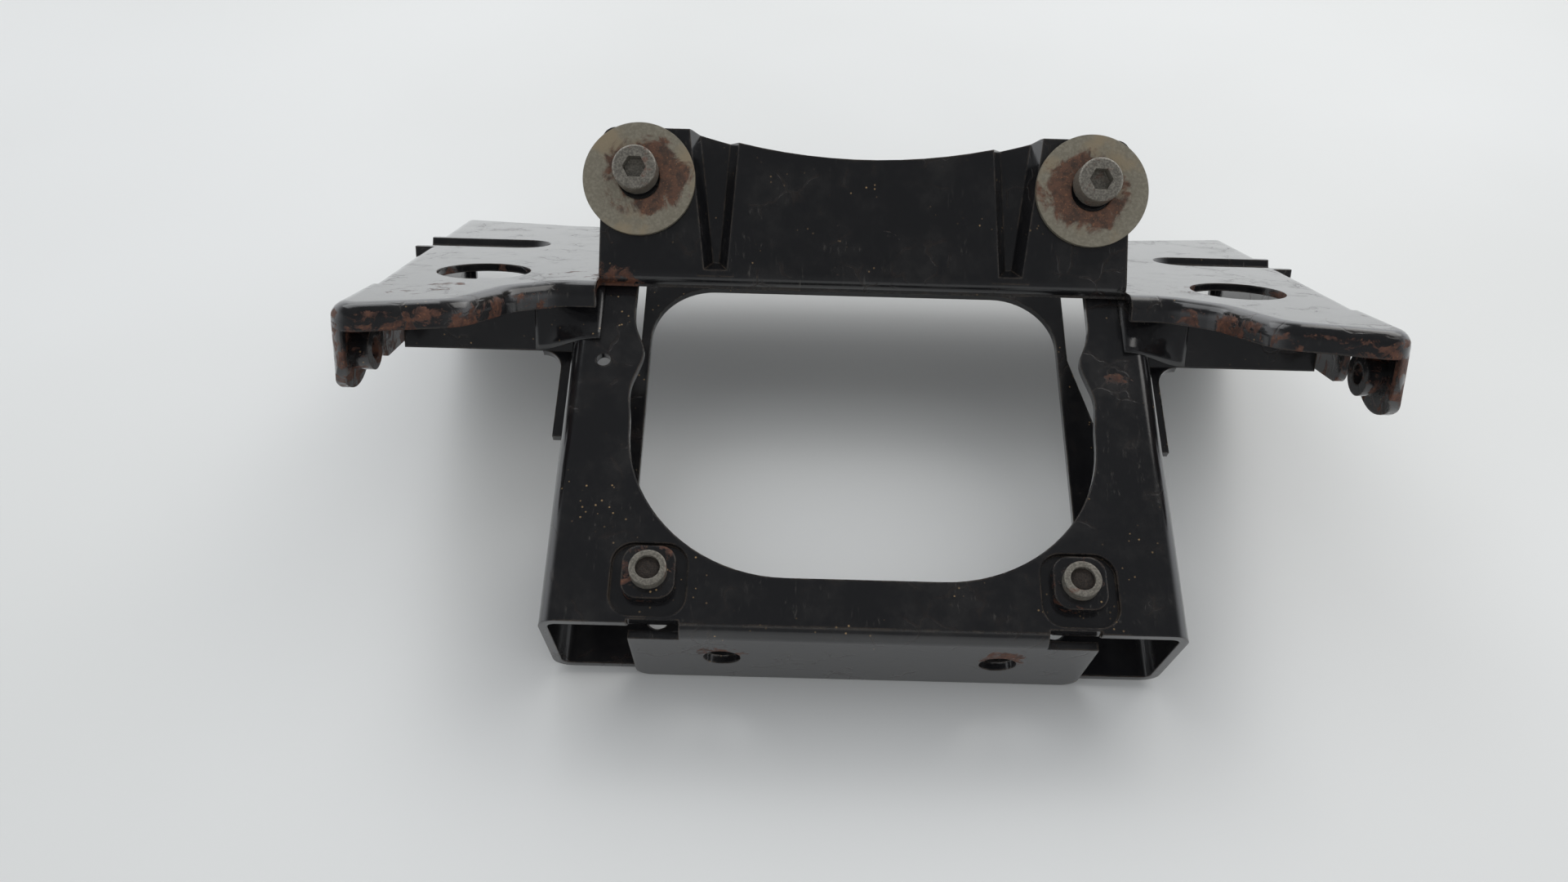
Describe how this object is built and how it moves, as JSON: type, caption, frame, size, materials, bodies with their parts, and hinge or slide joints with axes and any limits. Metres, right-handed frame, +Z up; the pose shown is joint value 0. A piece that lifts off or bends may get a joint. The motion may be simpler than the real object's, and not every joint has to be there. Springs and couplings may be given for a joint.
{
  "type": "motor mounting bracket",
  "caption": "Pressed steel motor bracket: a box frame with a round-cornered opening and open legs, under a winged top sheet with an upright strap, washers and screws.",
  "frame": {"origin": "centre of the bracket's footprint, on the surface that it lies on", "axes": "+Z up from that surface, +X to the right along the strap, -Y towards the open leg ends"},
  "size_m": [0.3026, 0.2129, 0.1098],
  "materials": {
    "black_paint": "worn gloss black paint with rust",
    "zinc_washer": "dull zinc with red-brown rust",
    "steel_screw": "dull grey steel",
    "clamp_steel": "worn black paint with rust at the edges",
    "nut_steel": "dark rusty steel"
  },
  "bodies": {
    "root": {"motor_frame_sheet": "black_paint", "top_sheet": "black_paint", "left_washer": "zinc_washer", "left_upper_screw": "steel_screw", "left_upper_nut": "nut_steel", "left_clamp_plate": "clamp_steel", "left_lower_screw": "steel_screw", "left_lower_nut": "nut_steel", "left_ear_nut": "nut_steel", "right_washer": "zinc_washer", "right_upper_screw": "steel_screw", "right_upper_nut": "nut_steel", "right_clamp_plate": "clamp_steel", "right_lower_screw": "steel_screw", "right_lower_nut": "nut_steel", "right_ear_nut": "nut_steel"}
  },
  "joints": []
}
